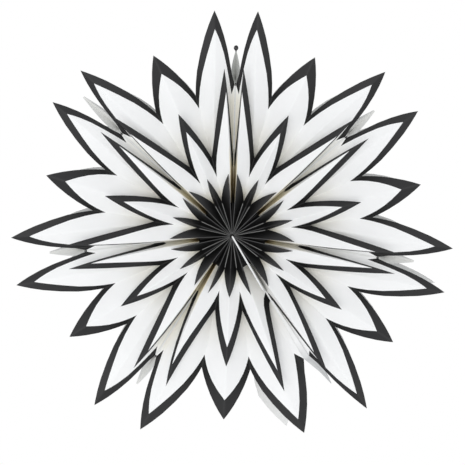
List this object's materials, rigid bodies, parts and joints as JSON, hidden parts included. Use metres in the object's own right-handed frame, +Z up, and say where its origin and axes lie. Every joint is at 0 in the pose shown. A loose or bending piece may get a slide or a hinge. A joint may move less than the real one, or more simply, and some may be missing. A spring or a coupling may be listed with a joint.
{
  "type": "hanging paper star",
  "caption": "Round folded paper star to hang up: nested rings of long and short pleated points with dark edges round a dark centre, alike front and back.",
  "frame": {"origin": "inside the top of the hanging ring, where a line or hook bears on it, 249.2 mm above the hub", "axes": "+Z up as it hangs, front face towards -Y, +X to the right seen from the front"},
  "size_m": [0.5995, 0.128, 0.579],
  "materials": {
    "white_paper": "matte",
    "dark_paper": "matte",
    "plain_paper": "matte",
    "white_card": "matte",
    "ring_metal": "satin"
  },
  "bodies": {
    "root": {"outer_front_1": "white_paper", "outer_front_2": "white_paper", "outer_front_3": "white_paper", "outer_front_4": "white_paper", "outer_front_5": "white_paper", "outer_front_6": "white_paper", "outer_front_7": "white_paper", "outer_back_1": "white_paper", "outer_back_2": "white_paper", "outer_back_3": "white_paper", "outer_back_4": "white_paper", "outer_back_5": "white_paper", "outer_back_6": "white_paper", "outer_back_7": "white_paper", "middle_front_1": "white_paper", "middle_front_2": "white_paper", "middle_front_3": "white_paper", "middle_front_4": "white_paper", "middle_front_5": "white_paper", "middle_front_6": "white_paper", "middle_front_7": "white_paper", "middle_back_1": "white_paper", "middle_back_2": "white_paper", "middle_back_3": "white_paper", "middle_back_4": "white_paper", "middle_back_5": "white_paper", "middle_back_6": "white_paper", "middle_back_7": "white_paper", "rosette_front_1": "dark_paper", "rosette_front_2": "dark_paper", "rosette_front_3": "dark_paper", "rosette_front_4": "dark_paper", "rosette_front_5": "dark_paper", "rosette_front_6": "dark_paper", "rosette_front_7": "dark_paper", "rosette_back_1": "dark_paper", "rosette_back_2": "dark_paper", "rosette_back_3": "dark_paper", "rosette_back_4": "dark_paper", "rosette_back_5": "dark_paper", "rosette_back_6": "dark_paper", "rosette_back_7": "dark_paper", "wall_1": "plain_paper", "wall_2": "plain_paper", "wall_3": "plain_paper", "wall_4": "plain_paper", "wall_5": "plain_paper", "wall_6": "plain_paper", "end_card_first": "white_card", "end_card_last": "white_card", "hanging_ring": "ring_metal"}
  },
  "joints": []
}
